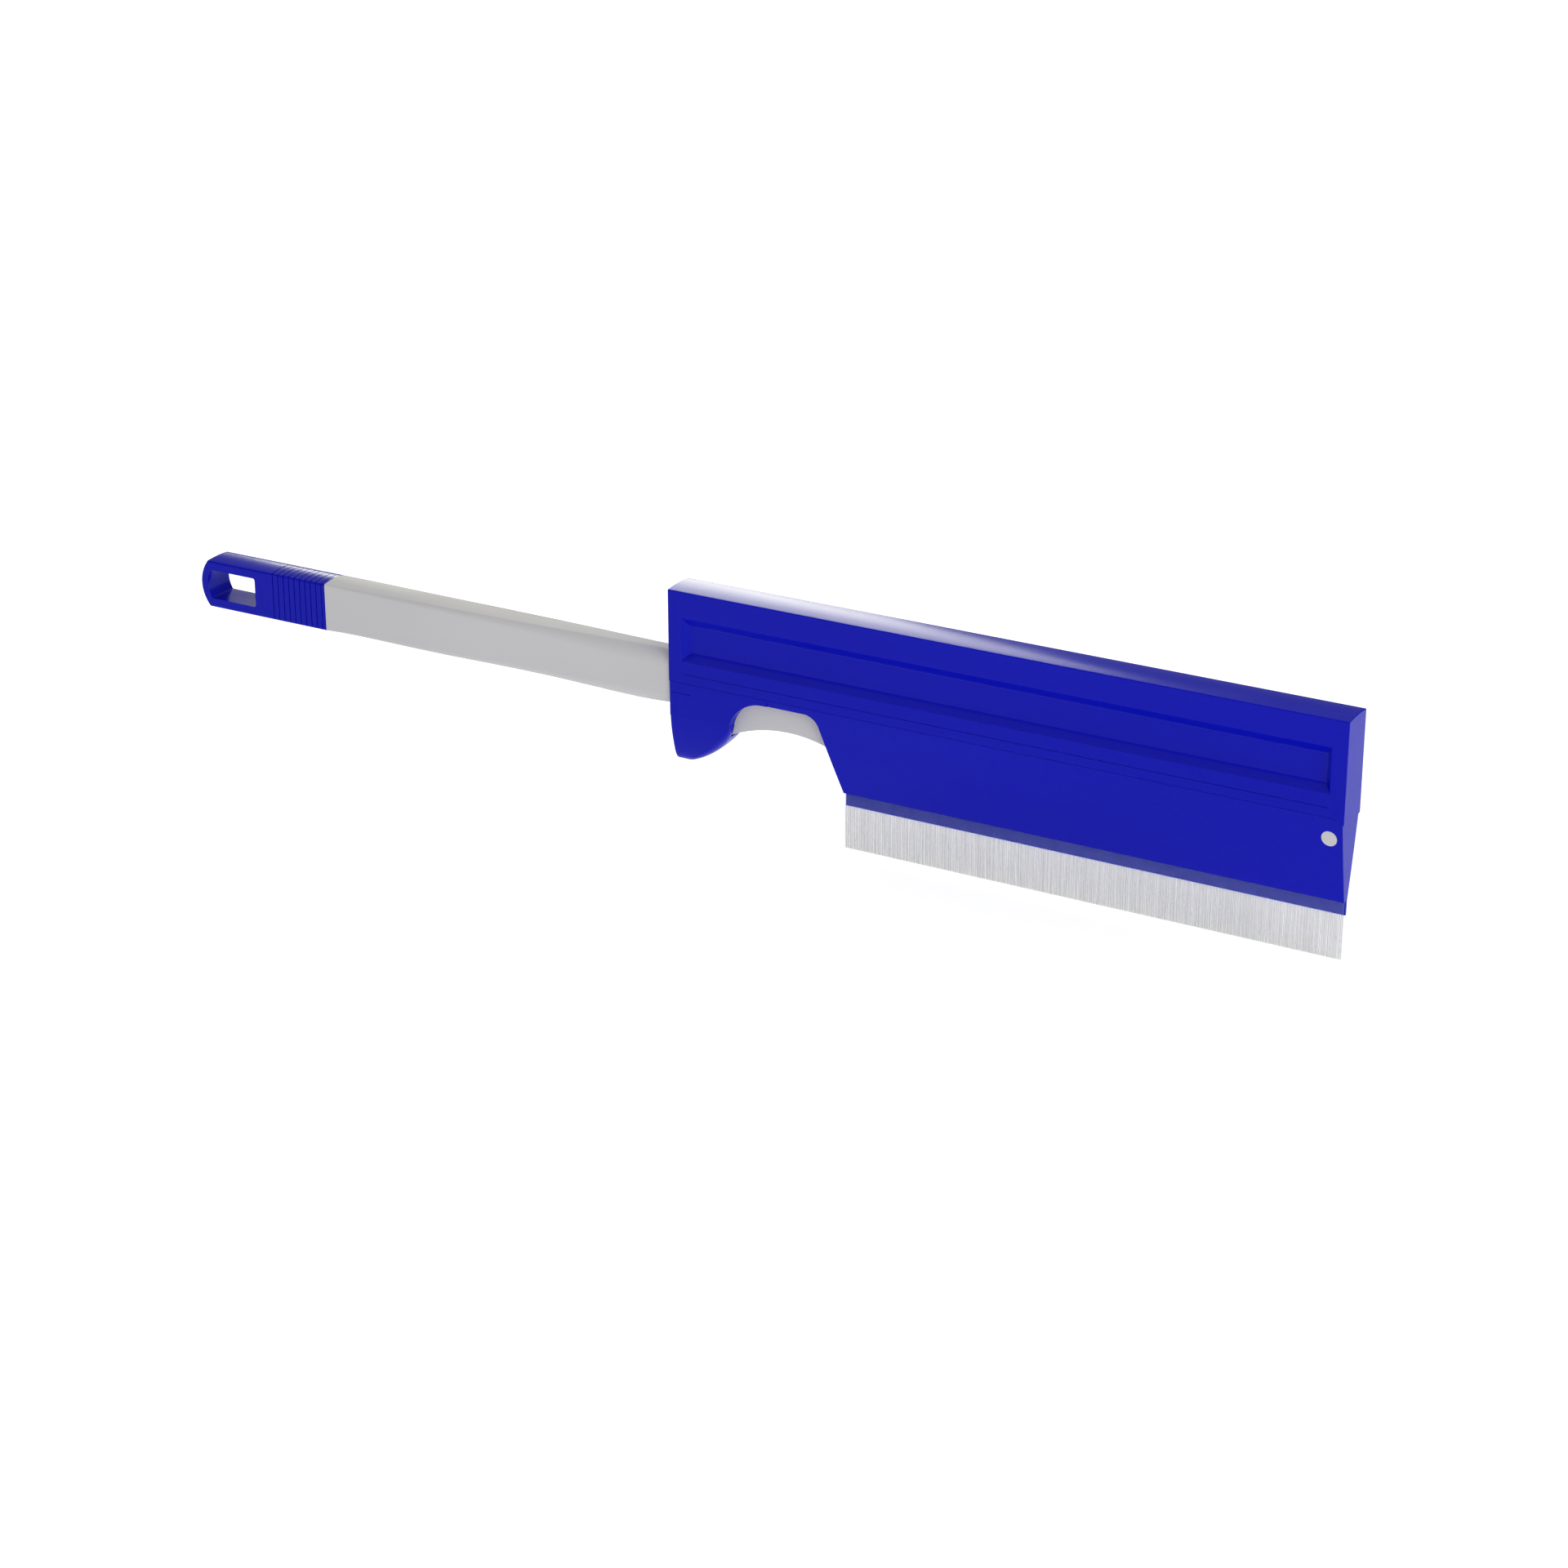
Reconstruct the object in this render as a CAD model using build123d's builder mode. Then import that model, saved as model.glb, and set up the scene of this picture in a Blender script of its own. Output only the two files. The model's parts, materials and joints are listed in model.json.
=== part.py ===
"""Long-handled algae scraper with a fold-down brush.

A grey arm runs from the grip, through the handle, to a pivot at the far end of the head. A blue spine
cap is screwed to the arm's upper edge and a stainless scraper blade is clamped to its lower edge. The
brush block is a hollow wedge, open at its top, that hugs the arm and covers the blade. It is held shut
by a leaf catch in its thumb knob and folds down about the pivot pin to uncover the blade.

+X runs from the grip to the pivot, +Y is the back of the head, +Z is up. The origin is the middle of
the whole tool's footprint, at the bristle tips.
"""

import os
from math import cos, radians, sin, sqrt

from build123d import *

os.makedirs("parts", exist_ok=True)

# ---------------------------------------------------------------- driving dimensions, mm
head_length = 355.5
head_thickness = 20.0
reach = 292.0                # from the head's left face to the end of the grip
grip_length = 81.5

seam_z = 73.0                # parting line between the spine cap and the brush block
cap_height = 47.5
cap_crown = 0.7
wedge_depth = 43.6           # seam to the front shell's lower edge
lip_depth = 50.8             # seam to the rear shell's lower edge
wedge_edge_half = 1.8        # half thickness of the wedge at its lower edge
knob_straight = 18.0         # the knob's sides are upright down to this depth
knob_reach = 34.3            # from the head's left face to the knob's edge at that depth
block_inset = 0.6            # the brush block is this much shorter than the cap at each end

pin_from_end = 7.2
pin_depth = 10.8             # pivot axis below the seam
swing_gap = 0.15             # clearance between the cap and the brush block
pin_head_r = 3.8
pin_shank_r = 2.5
running_gap = 0.05

arm_half = 4.0
arm_top = 8.5                # above the seam
arm_eye_r = 4.8
wall = 2.2

bar_half = 8.8               # handle bar, half thickness
bar_half_height = 12.7
bar_crown = 1.0
grip_corner = 1.2

bristle_front = -0.9
bristle_back = 0.3
bristle_start = 94.5         # from the head's left face

# ---------------------------------------------------------------- derived places
half = head_thickness / 2
head_left = (reach - head_length) / 2
head_right = head_left + head_length
grip_end = head_left - reach
grip_joint = grip_end + grip_length
block_left = head_left + block_inset
block_right = head_right - block_inset
pin_x = head_right - pin_from_end
pin_z = seam_z - pin_depth
cap_top = seam_z + cap_height
wedge_bottom = seam_z - wedge_depth
lip_bottom = seam_z - lip_depth
bristle_left = head_left + bristle_start


def at(distance, height):
    """A side-view point: distance from the head's left face, height above the seam."""
    return (head_left + distance, seam_z + height)

def at_y(distance, y):
    """A plan-view point: distance from the head's left face, and y."""
    return (head_left + distance, y)


def countersunk(head_y, tip_y, shank_radius, head_radius, socket=True):
    """Countersunk screw on the Y axis, driven from the back."""
    rim = 0.3
    cone_end = head_y - rim - (head_radius - shank_radius)
    with BuildPart() as screw:
        with BuildSketch(Plane.XY):
            with BuildLine():
                Polyline(
                    (0, head_y), (head_radius, head_y), (head_radius, head_y - rim),
                    (shank_radius, cone_end), (shank_radius, tip_y), (0, tip_y), close=True,
                )
            make_face()
        revolve(axis=Axis.Y)
        if socket:
            with BuildSketch(Plane.XZ.offset(-head_y)):
                RegularPolygon(0.5 * head_radius, 6)
            extrude(amount=1.2, mode=Mode.SUBTRACT)
    return screw.part


def save(builder, name):
    """Label a finished piece and write it as its own STEP."""
    builder.part.label = name
    export_step(builder.part, f"parts/{name}.step")
    print(name, len(builder.solids()), builder.part.is_valid)


def wedge_half(depth):
    """Half thickness of the wedge's outer face at a depth below the seam, without its slight belly."""
    return half - (half - wedge_edge_half) * depth / wedge_depth


# ---------------------------------------------------------------- sections across the tool
def wedge_section(x, inset=0.0, bottom=wedge_depth, top=0.0):
    """Wedge between two depths, its faces moved in by inset."""
    belly = 0.35
    low = wedge_half(bottom) - inset
    high = wedge_half(top) - inset
    middle = wedge_half((top + bottom) / 2) - inset + belly
    with BuildSketch(Plane.YZ.offset(x)) as section:
        with BuildLine():
            Line((-high, seam_z - top), (high, seam_z - top))
            ThreePointArc((high, seam_z - top), (middle, seam_z - (top + bottom) / 2), (low, seam_z - bottom))
            Line((low, seam_z - bottom), (-low, seam_z - bottom))
            ThreePointArc((-low, seam_z - bottom), (-middle, seam_z - (top + bottom) / 2), (-high, seam_z - top))
        make_face()
    return section.sketch


def knob_level(depth, right, half_width, corner):
    """Level cut through the thumb knob: crisp at the outer end, rounded towards the finger notch."""
    left = block_left
    with BuildSketch(Plane.XY.offset(seam_z - depth)) as level:
        with Locations(((left + right) / 2, 0)):
            Rectangle(right - left, 2 * half_width)
        fillet(level.vertices().group_by(Axis.X)[-1], corner)
        fillet(level.vertices().group_by(Axis.X)[0], 0.5)
    return level.sketch


def bar_section(x, corner, low=bar_half_height, high=bar_half_height, side=bar_half, crown=bar_crown):
    """Handle bar: flat sides, crowned top and bottom, rounded corners."""
    with BuildSketch(Plane.YZ.offset(x)) as section:
        with BuildLine():
            ThreePointArc((-side, seam_z + high), (0, seam_z + high + crown), (side, seam_z + high))
            Line((side, seam_z + high), (side, seam_z - low))
            ThreePointArc((side, seam_z - low), (0, seam_z - low - crown), (-side, seam_z - low))
            Line((-side, seam_z - low), (-side, seam_z + high))
        make_face()
        fillet(section.vertices(), corner)
    return section.sketch


# ---------------------------------------------------------------- side outlines
def block_outline():
    """Brush block seen from the front: knob, finger notch and wedge, with the swing arc at the pivot."""
    swing_r = pin_depth - swing_gap
    arc_end_z = pin_z + sqrt(swing_r**2 - (block_right - pin_x) ** 2)
    arc_mid = radians(68)
    with BuildSketch(Plane.XZ) as outline:
        with BuildLine():
            Line((block_left, seam_z - swing_gap), (block_left, seam_z - knob_straight))
            Line((block_left, seam_z - knob_straight), at(knob_reach, -knob_straight))
            ThreePointArc(at(knob_reach, -knob_straight), at(40.0, -8.6), at(54.0, -3.3))
            Line(at(54.0, -3.3), at(77.0, -3.3))
            ThreePointArc(at(77.0, -3.3), at(81.6, -5.4), at(84.2, -10.0))
            Line(at(84.2, -10.0), at(94.4, -wedge_depth))
            Line(at(94.4, -wedge_depth), (block_right, wedge_bottom))
            Line((block_right, wedge_bottom), (block_right, arc_end_z))
            ThreePointArc(
                (block_right, arc_end_z),
                (pin_x + swing_r * cos(arc_mid), pin_z + swing_r * sin(arc_mid)),
                (pin_x, pin_z + swing_r),
            )
            Line((pin_x, pin_z + swing_r), (block_left, seam_z - swing_gap))
        make_face()
    return outline.sketch


def arm_outline():
    """Flat arm inside the head: neck, finger arch, blade seat and pivot eye."""
    eye_top = arm_eye_r - pin_depth
    eye_bottom = -arm_eye_r - pin_depth
    pin_at = head_length - pin_from_end
    with BuildSketch(Plane.XZ) as outline:
        with BuildLine():
            Polyline(at(-4, arm_top), at(331, arm_top), at(pin_at - 12, eye_top), at(pin_at, eye_top))
            ThreePointArc(
                at(pin_at, eye_top), at(pin_at + arm_eye_r, -pin_depth), at(pin_at, eye_bottom)
            )
            Polyline(at(pin_at, eye_bottom), at(pin_at - 8, eye_bottom), at(pin_at - 18, -20.4), at(86, -20.4))
            ThreePointArc(at(86, -20.4), at(60, -17.3), at(31, -25.2))
            Polyline(at(31, -25.2), at(16, -25.2), at(6, -11.5), at(-4, -11.5), at(-4, arm_top))
        make_face()
        fillet(outline.vertices().group_by(Axis.Y)[0], 4)
    return outline.sketch


# ================================================================ body of handle, arm and cap
screw_spots = [(head_left + d, seam_z + 4.6) for d in (46, 132, 218, 304)]
blade_spots = [(head_left + d, seam_z - 16.2) for d in (112, 182, 252, 322)]
blade_left = head_left + 99
blade_right = pin_x - 11
blade_top = seam_z - 12.6
blade_edge = seam_z - 34.0
blade_half = 0.3
seat_left = blade_left - 0.6
seat_right = blade_right + 0.6
tang_length = 34.0
tang_side = 6.4
tang_height = 9.6
grip_screw_spots = [(grip_joint - d, seam_z) for d in (10, 24)]
screw_r = 1.5
head_r = 2.8
insert_r = 2.4
insert_length = 3.4
nut_r = 2.5
nut_height = 1.8
blade_screw_r = 1.25
bush_r = 3.4
bar_gap = 0.2                # between the end of the bar and the cap
shoulder_length = 5.0
shoulder_top = 14.0          # above the seam, as the next two
shoulder_middle = 12.7
shoulder_low = 9.8
neck_width = 10.4
neck_height = 20.0
neck_start = 5.0             # from the head's left face
neck_length = 7.4
tube_wall = 2.5
tube_end = 22.0
blade_seat_height = 8.8
blade_seat_middle = 4.2
grip_screw_r = 1.2
grip_screw_head_r = 2.3
grip_screw_tip = 3.4

# distance along the bar from the grip, corner radius, height of the underside below the seam
bar_stations = (
    (0, grip_corner, bar_half_height),
    (50, 1.8, 12.4),
    (95, 2.6, 12.3),
    (155, 4.6, 12.8),
    (193.5, 6.4, 13.9),
    (reach - grip_length - bar_gap, 6.4, 12.9),
)

with BuildPart() as handle:
    # the bar's corners soften and its underside swells towards the head
    for distance, corner, low in bar_stations:
        add(bar_section(grip_joint + distance, corner, low=low))
    loft()
    # rounded shoulder where the bar meets the cap
    with BuildSketch(Plane.XZ):
        with BuildLine():
            Line(at(-shoulder_length, shoulder_top), at(1, shoulder_top))
            Line(at(1, shoulder_top), at(1, shoulder_low))
            ThreePointArc(
                at(1, shoulder_low), at(-0.25 * shoulder_length, shoulder_middle), at(-shoulder_length, shoulder_top)
            )
        make_face()
    extrude(amount=half, both=True, mode=Mode.SUBTRACT)
    # tang inside the grip
    with BuildSketch(Plane.YZ.offset(grip_joint)):
        with Locations((0, seam_z)):
            RectangleRounded(2 * tang_side, 2 * tang_height, 2)
    extrude(amount=-tang_length)
    # neck and arm
    extrude(arm_outline(), amount=arm_half, both=True)
    with BuildSketch(Plane.YZ.offset(head_left - neck_start)):
        with Locations((0, seam_z - 1.5)):
            RectangleRounded(neck_width, neck_height, 2)
    extrude(amount=neck_length)
    # the bar is a tube, moulded from the tang's end
    with BuildSketch(Plane.YZ.offset(grip_joint - tang_length)):
        with Locations((0, seam_z)):
            RectangleRounded(2 * (tang_side - tube_wall), 2 * (tang_height - tube_wall), 1.5)
    extrude(amount=tang_length + reach - grip_length - tube_end, mode=Mode.SUBTRACT)
    # lower edge of the arm is cut back to a rear lip that the blade is clamped against
    with BuildSketch(Plane.XZ):
        with Locations(((seat_left + seat_right) / 2, blade_top - blade_seat_middle)):
            Rectangle(seat_right - seat_left, blade_seat_height)
    extrude(amount=arm_half + 1, mode=Mode.SUBTRACT)
    with BuildSketch(Plane.XZ.offset(-blade_half)):
        with Locations(((seat_left + seat_right) / 2, blade_top - blade_seat_middle)):
            Rectangle(seat_right - seat_left, blade_seat_height)
    extrude(amount=blade_half + 0.01, mode=Mode.SUBTRACT)
    # holes: cap screws, blade screws, pivot bush
    with BuildSketch(Plane.XZ.offset(-half)):
        with Locations(*screw_spots):
            Circle(screw_r + 0.2)
        with Locations(*blade_spots):
            Circle(blade_screw_r)
    extrude(amount=head_thickness, mode=Mode.SUBTRACT)
    with BuildSketch(Plane.XZ.offset(-half)):
        with Locations((pin_x, pin_z)):
            Circle(bush_r)
    extrude(amount=head_thickness, mode=Mode.SUBTRACT)
    with BuildSketch(Plane.XZ.offset(-arm_half)):
        with Locations(*blade_spots):
            RegularPolygon(nut_r, 6)
    extrude(amount=nut_height, mode=Mode.SUBTRACT)
    # pilot holes for the grip screws, from the back
    with BuildSketch(Plane.XZ.offset(-tang_side)):
        with Locations(*grip_screw_spots):
            Circle(grip_screw_r)
    extrude(amount=3, mode=Mode.SUBTRACT)
save(handle, "handle")

# ---------------------------------------------------------------- grip
end_radius = 19.2            # side-view radius of the grip's end
slot_margin = 4.6
slot_right = grip_end + 35.8
slot_half_height = 7.9
groove_pitch = 3.5
groove_count = 10
groove_depth = 0.4
groove_width = 0.5
first_groove = 2.0           # from the joint with the handle
tang_gap = 0.4


def slot_outline():
    """Hanging slot, its outer end parallel to the end of the grip."""
    centre = grip_end + end_radius
    inner_r = end_radius - slot_margin
    corner_x = centre - sqrt(inner_r**2 - slot_half_height**2)
    top = seam_z + slot_half_height
    bottom = seam_z - slot_half_height
    with BuildSketch(Plane.XZ) as outline:
        with BuildLine():
            Polyline((corner_x, top), (slot_right, top), (slot_right, bottom), (corner_x, bottom))
            ThreePointArc((corner_x, bottom), (centre - inner_r, seam_z), (corner_x, top))
        make_face()
        fillet(outline.vertices(), 1.2)
    return outline.sketch


def groove_ring(x):
    """Ring round the grip, as deep as a grip groove."""
    cut = groove_depth
    outer = bar_section(x, grip_corner, bar_half_height + 1, bar_half_height + 1, bar_half + 1)
    inner = bar_section(x, grip_corner - 0.3, bar_half_height - cut, bar_half_height - cut, bar_half - cut)
    return outer - inner


with BuildPart() as grip:
    extrude(bar_section(grip_joint, grip_corner), amount=-grip_length)
    with BuildSketch(Plane.XZ) as end_shape:
        with Locations((grip_end + end_radius, seam_z)):
            Circle(end_radius)
        with Locations(((grip_end + end_radius + grip_joint) / 2, seam_z)):
            Rectangle(grip_joint - grip_end - end_radius, 3 * bar_half_height)
    extrude(amount=half, both=True, mode=Mode.INTERSECT)
    fillet(grip.edges().group_by(Axis.X)[0], 1.0)
    extrude(slot_outline(), amount=half, both=True, mode=Mode.SUBTRACT)
    for number in range(groove_count):
        groove_x = grip_joint - first_groove - groove_width - number * groove_pitch
        extrude(groove_ring(groove_x), amount=groove_width, mode=Mode.SUBTRACT)
    with BuildSketch(Plane.YZ.offset(grip_joint)):
        with Locations((0, seam_z)):
            RectangleRounded(2 * tang_side, 2 * tang_height, 2)
    extrude(amount=-tang_length - tang_gap, mode=Mode.SUBTRACT)
    with Locations(*[(x, 0, z) for x, z in grip_screw_spots]):
        add(
            countersunk(bar_half, grip_screw_tip, grip_screw_r, grip_screw_head_r, socket=False),
            mode=Mode.SUBTRACT,
        )
save(grip, "grip")

with BuildPart() as grip_screws:
    with Locations(*[(x, 0, z) for x, z in grip_screw_spots]):
        add(countersunk(bar_half, grip_screw_tip, grip_screw_r, grip_screw_head_r))
save(grip_screws, "grip_screws")

# ---------------------------------------------------------------- spine cap
recess_left = head_left + 7.7
recess_right = head_left + 348.0
recess_bottom = seam_z + 11.5
recess_top = seam_z + 34.0
recess_depth = 3.5
recess_slope = 3.2
recess_top_slope = 4.6
recess_blend = 1.5           # concave radius round the recess floor
fine_line_width = 0.3
fine_line_depth = 0.25
rib_height = 36.0
rib_middle = 28.0            # above the seam
boss_r = 4.2
neck_opening = 5.3
groove_z = seam_z + 4.8
cap_inner = half - wall
floor_inner = half - recess_depth - wall
rib_count = 7
rib_thickness = 1.6


def cap_outline():
    """Spine cap seen from the front. Past the pivot its lower edge follows the brush block's swing."""
    corner_z = pin_z + sqrt(pin_depth**2 - pin_from_end**2)
    arc_mid = radians(70)
    with BuildSketch(Plane.XZ) as outline:
        with BuildLine():
            Polyline((pin_x, seam_z), (head_left, seam_z), (head_left, cap_top))
            Polyline((head_left, cap_top), (head_right, cap_top), (head_right, corner_z))
            ThreePointArc(
                (head_right, corner_z),
                (pin_x + pin_depth * cos(arc_mid), pin_z + pin_depth * sin(arc_mid)),
                (pin_x, seam_z),
            )
        make_face()
    return outline.sketch


def hollow(left, right, bottom, top, half_width):
    """Rectangle across the head, ready to extrude both ways along Y."""
    with BuildSketch(Plane.XZ) as area:
        with Locations(((left + right) / 2, (bottom + top) / 2)):
            Rectangle(right - left, top - bottom)
    extrude(area.sketch, amount=half_width, both=True, mode=Mode.SUBTRACT)


with BuildPart() as spine_cap:
    extrude(cap_outline(), amount=half, both=True)
    with BuildSketch(Plane.YZ.offset(head_left)):
        with BuildLine():
            ThreePointArc((-half, cap_top), (0, cap_top + cap_crown), (half, cap_top))
            Line((half, cap_top), (-half, cap_top))
        make_face()
    extrude(amount=head_length)
    fillet(spine_cap.edges().filter_by(lambda edge: edge.center().Z > seam_z + 1), 0.5)
    # shallow panel recess, front and back
    for side in (-1, 1):
        middle = ((recess_left + recess_right) / 2, (recess_bottom + recess_top) / 2)
        width = recess_right - recess_left
        height = recess_top - recess_bottom
        with BuildSketch(Plane.XZ.offset(side * half)):
            with Locations(middle):
                Rectangle(width, height)
        with BuildSketch(Plane.XZ.offset(side * (half - recess_depth))):
            with Locations((middle[0], middle[1] - (recess_top_slope - recess_slope) / 2)):
                Rectangle(width - 2 * recess_slope, height - recess_slope - recess_top_slope)
        loft(mode=Mode.SUBTRACT)
    fillet(
        spine_cap.edges().filter_by(lambda edge: abs(abs(edge.center().Y) - half + recess_depth) < 0.01),
        recess_blend,
    )
    # fine line under the front panel
    with BuildSketch(Plane.XZ.offset(half)):
        with Locations(((recess_left + recess_right) / 2, groove_z)):
            Rectangle(recess_right - recess_left - 1, fine_line_width)
    extrude(amount=-fine_line_depth, mode=Mode.SUBTRACT)
    # hollow: wide round the arm, narrow between the panels, wide again under the top
    hollow(head_left + wall, head_right - wall, seam_z - 6, seam_z + 9, cap_inner)
    hollow(head_left + wall, head_right - wall, seam_z + 8, cap_top - wall, floor_inner)
    hollow(head_left + wall, head_right - wall, seam_z + 36.8, cap_top - wall, cap_inner)
    # cross ribs under the top
    for number in range(rib_count):
        rib_x = head_left + head_length * (number + 1) / (rib_count + 1)
        with BuildSketch(Plane.YZ.offset(rib_x)):
            with Locations((0, seam_z + rib_middle)):
                Rectangle(2 * floor_inner + 0.2, rib_height)
        extrude(amount=rib_thickness)
    # screw bosses that grip the arm from both sides
    with BuildSketch(Plane.XZ.offset(-cap_inner - 0.2)):
        with Locations(*screw_spots):
            Circle(boss_r)
    extrude(amount=cap_inner + 0.2 - arm_half)
    with BuildSketch(Plane.XZ.offset(arm_half)):
        with Locations(*screw_spots):
            Circle(boss_r)
    extrude(amount=cap_inner + 0.2 - arm_half)
    with BuildSketch(Plane.XZ.offset(arm_half)):
        with Locations(*screw_spots):
            Circle(insert_r)
    extrude(amount=insert_length, mode=Mode.SUBTRACT)
    with Locations(*[(x, 0, z) for x, z in screw_spots]):
        add(countersunk(half, -arm_half - insert_length, screw_r, head_r, socket=False), mode=Mode.SUBTRACT)
    # the neck passes through the left wall
    hollow(head_left - 1, head_left + wall + 1, seam_z - 1, seam_z + arm_top + 0.1, neck_opening)
save(spine_cap, "spine_cap")

with BuildPart() as spine_screws:
    with Locations(*[(x, 0, z) for x, z in screw_spots]):
        add(countersunk(half, -arm_half - insert_length, screw_r, head_r))
save(spine_screws, "spine_screws")

with BuildPart() as spine_inserts:
    with BuildSketch(Plane.XZ.offset(arm_half)):
        with Locations(*screw_spots):
            Circle(insert_r)
            Circle(screw_r, mode=Mode.SUBTRACT)
    extrude(amount=insert_length)
save(spine_inserts, "spine_inserts")

# ---------------------------------------------------------------- scraper blade and its clamp
clamp_bottom = seam_z - 20.2
blade_middle = (blade_left + blade_right) / 2
bevel_height = 1.2
edge_half = 0.05

with BuildPart() as scraper_blade:
    with BuildSketch(Plane.YZ.offset(blade_left)):
        with BuildLine():
            Polyline(
                (-blade_half, blade_top), (blade_half, blade_top), (blade_half, blade_edge + bevel_height),
                (edge_half, blade_edge), (-edge_half, blade_edge), (-blade_half, blade_edge + bevel_height),
                close=True,
            )
        make_face()
    extrude(amount=blade_right - blade_left)
    with BuildSketch(Plane.XZ):
        with Locations(*blade_spots):
            Circle(blade_screw_r)
    extrude(amount=1, both=True, mode=Mode.SUBTRACT)
save(scraper_blade, "scraper_blade")

with BuildPart() as blade_clamp:
    with BuildSketch(Plane.XZ.offset(blade_half)):
        with Locations((blade_middle, (blade_top + clamp_bottom) / 2)):
            Rectangle(blade_right - blade_left, blade_top - clamp_bottom)
        with Locations(*blade_spots):
            Circle(blade_screw_r, mode=Mode.SUBTRACT)
    extrude(amount=arm_half - blade_half)
    fillet(blade_clamp.edges().filter_by(Axis.X).group_by(Axis.Y)[0], 0.6)
save(blade_clamp, "blade_clamp")

with BuildPart() as blade_screws:
    with BuildSketch(Plane.XZ.offset(arm_half)):
        with Locations(*blade_spots):
            Circle(2.2)
    extrude(amount=0.9)
    with BuildSketch(Plane.XZ.offset(arm_half)):
        with Locations(*blade_spots):
            Circle(blade_screw_r)
    extrude(amount=-2 * arm_half)
save(blade_screws, "blade_screws")

with BuildPart() as blade_nuts:
    with BuildSketch(Plane.XZ.offset(-arm_half)):
        with Locations(*blade_spots):
            RegularPolygon(nut_r, 6)
            Circle(blade_screw_r, mode=Mode.SUBTRACT)
    extrude(amount=nut_height)
save(blade_nuts, "blade_nuts")

with BuildPart() as pivot_bush:
    with BuildSketch(Plane.XZ.offset(-arm_half)):
        with Locations((pin_x, pin_z)):
            Circle(bush_r)
            Circle(pin_shank_r + running_gap, mode=Mode.SUBTRACT)
    extrude(amount=2 * arm_half)
save(pivot_bush, "pivot_bush")

# ================================================================ brush block
section_change = head_left + 56
# depth below the seam, right edge from the head's left face, half width, corner radius
knob_levels = (
    (knob_straight, knob_reach, half, 0.8),
    (24, 32.9, 9.4, 3.0),
    (30, 29.0, 8.3, 5.0),
    (36, 22.4, 6.8, 5.0),
    (40.5, 15.4, 5.2, 4.0),
    (43, 10.0, 3.2, 2.6),
)
pocket_depth = 29.0
shell_wall = 1.8
cavity_depth = 34.6
end_wall_x = pin_x + 5.2
wedge_hollow_left = head_left + 97
slot_half = arm_half + 0.5
neck_slot_half = 5.6
hub_r = 4.6
hub_face = 5.0
head_seat = 6.2

channel_front = -1.15
channel_back = 0.55
channel_sheet = 0.25
channel_top = seam_z - 38.9
channel_bottom = seam_z - 43.1
strip_right = block_right - 0.2
wire_r = 0.35

knob_screw = (head_left + 12.0, seam_z - 36.0)
tail_screw = (pin_x - 4.8, seam_z - 27.0)
clamp_spots = [(bristle_left + 14 + n * 37.6, seam_z - 36.7) for n in range(7)]
plug_x = head_left + 20.0
plug_r = 2.5
plug_bottom = seam_z - 33.5
plug_top = seam_z - 25.4

catch_spots = [(head_left + d, seam_z - 9.0) for d in (6.5, 10.5)]
catch_face = 5.0
catch_post_centre = (head_left + 8.0, seam_z - 9.0)
catch_post_size = (11, 7)
catch_post_height = 2.6
catch_post_gap = 0.4
rivet_hole_r = 0.8
rivet_hole_depth = 2.4

knob_screw_top = 5.4         # top of each screw's head, from the middle plane
knob_screw_head_r = 2.4
tail_screw_top = 4.0
tail_screw_head_r = 1.9
clamp_screw_top = 2.5
clamp_screw_head_r = 1.5
head_pocket_depth = 6.0

knob_hollow_end = 27.0       # from the head's left face
knob_hollow_depth = 20.0     # depths are below the seam
knob_hollow_half = 7.4
knob_pocket_end = 23.0
knob_pocket_half = 5.6
arm_slot_start = 16.0
arm_slot_depth = 21.2
stop_slot_start = 15.0
stop_slot_end = 46.0
stop_slot_depth = 25.8
neck_slot_depth = 12.1
hub_height = 1.8
head_seat_cut = 5.0
tail_boss_r = 2.6
tail_boss_half = 3.6
lip_overlap = 0.3            # the lip runs this far up into the wedge
lip_taper = 0.15
knob_line_place = (7, -5.7)
knob_line_length = 11.5


def pan_screw(head_top, head_height, tip, shank_radius, head_radius, spots):
    """Pan-head screws driven from the back at several spots, as one group."""
    with BuildPart() as screws:
        with BuildSketch(Plane.XZ.offset(-head_top)):
            with Locations(*spots):
                Circle(head_radius)
        extrude(amount=head_height)
        with BuildSketch(Plane.XZ.offset(-head_top + head_height / 2)):
            with Locations(*spots):
                Circle(shank_radius)
        extrude(amount=head_top - head_height / 2 - tip)
    return screws.part


knob_screw_solid = pan_screw(knob_screw_top, 1.6, -5.0, 1.25, knob_screw_head_r, [knob_screw])
tail_screw_solid = pan_screw(tail_screw_top, 1.2, -3.4, 1.0, tail_screw_head_r, [tail_screw])
clamp_screw_solid = pan_screw(clamp_screw_top, 0.8, -1.9, 0.8, clamp_screw_head_r, clamp_spots)

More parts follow.
